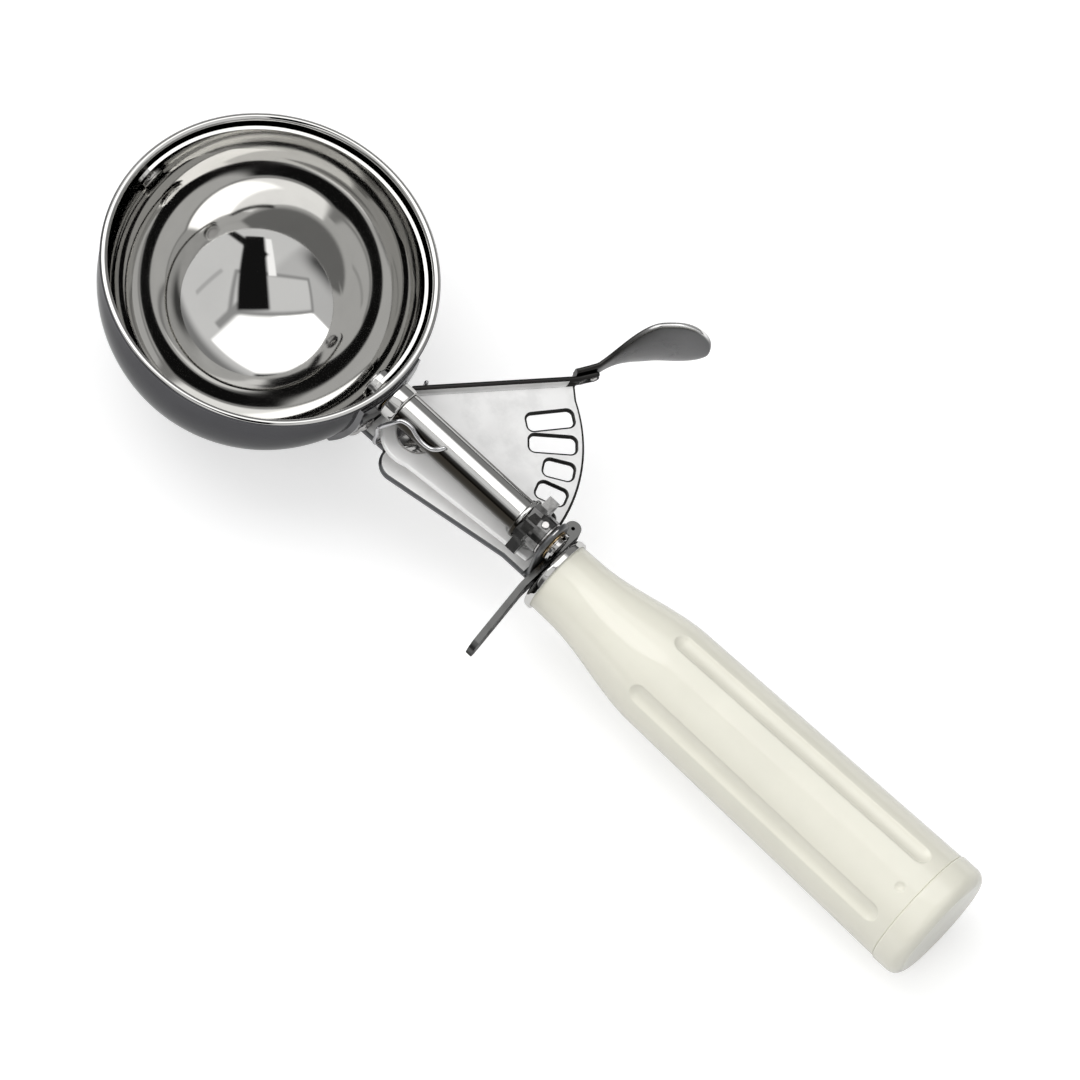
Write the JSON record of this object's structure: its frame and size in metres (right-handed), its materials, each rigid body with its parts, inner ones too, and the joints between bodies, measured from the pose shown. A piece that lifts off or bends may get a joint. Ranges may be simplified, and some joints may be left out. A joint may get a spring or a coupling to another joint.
{
  "type": "lever ice cream scoop",
  "caption": "Ice cream scoop with a half-ball bowl, a spring-loaded thumb lever that sweeps a scraper blade through a toothed sector, and a fluted plastic handle.",
  "frame": {"origin": "centre of the handle's flat end face, on the handle's axis", "axes": "+X along the handle's axis away from the bowl, +Y to the side of the thumb lever, +Z out of the bowl's mouth"},
  "size_m": [0.2209, 0.0906, 0.0403],
  "materials": {
    "polished_steel": "mirror polished stainless steel",
    "blade_steel": "polished stainless steel strip",
    "rolled_steel": "bright tumbled sheet steel",
    "pad_steel": "bright tumbled sheet steel, dished",
    "turned_steel": "turned bright steel",
    "spring_wire": "drawn spring wire",
    "bronze": "sintered bronze",
    "ivory_plastic": "glossy moulded ivory plastic"
  },
  "bodies": {
    "frame": {"bowl": "polished_steel", "bowl_saddle": "polished_steel", "saddle_rivets": "turned_steel", "front_bushing": "bronze", "front_collar": "polished_steel", "shank_tube": "polished_steel", "frame_plate": "rolled_steel", "rear_bushing": "bronze", "pivot_post": "turned_steel", "tip_pin": "turned_steel", "tip_washer": "polished_steel", "finger_rest": "rolled_steel", "rest_rivets": "turned_steel", "ferrule": "polished_steel", "handle": "ivory_plastic", "end_cap": "ivory_plastic", "return_spring": "spring_wire"},
    "lever": {"sector_plate": "rolled_steel", "pivot_bushing": "bronze", "thumb_pad": "pad_steel", "pad_rivets": "turned_steel"},
    "scraper": {"scraper_blade": "blade_steel", "blade_hub": "blade_steel", "scraper_shaft": "turned_steel", "pinion": "turned_steel", "cross_pin": "turned_steel", "thrust_washer": "turned_steel", "shaft_clip": "spring_wire"}
  },
  "joints": [
    {"name": "lever_press", "type": "hinge", "parent": "frame", "child": "lever", "pos_m": [-0.1434, 0, 0.00433], "axis": [0, 0, -1], "range_deg": [0, 32], "stiffness_Nm_per_rad": 0.5, "springref_deg": -22.92, "deforming": ["return_spring"]},
    {"name": "scraper_turn", "type": "hinge", "parent": "frame", "child": "scraper", "pos_m": [-0.186, 0, 0.0098], "axis": [-1, 0, 0], "range_deg": [0, 176]}
  ],
  "couplings": [
    {"joint": "scraper_turn", "follows": "lever_press", "ratio": 5.5}
  ]
}
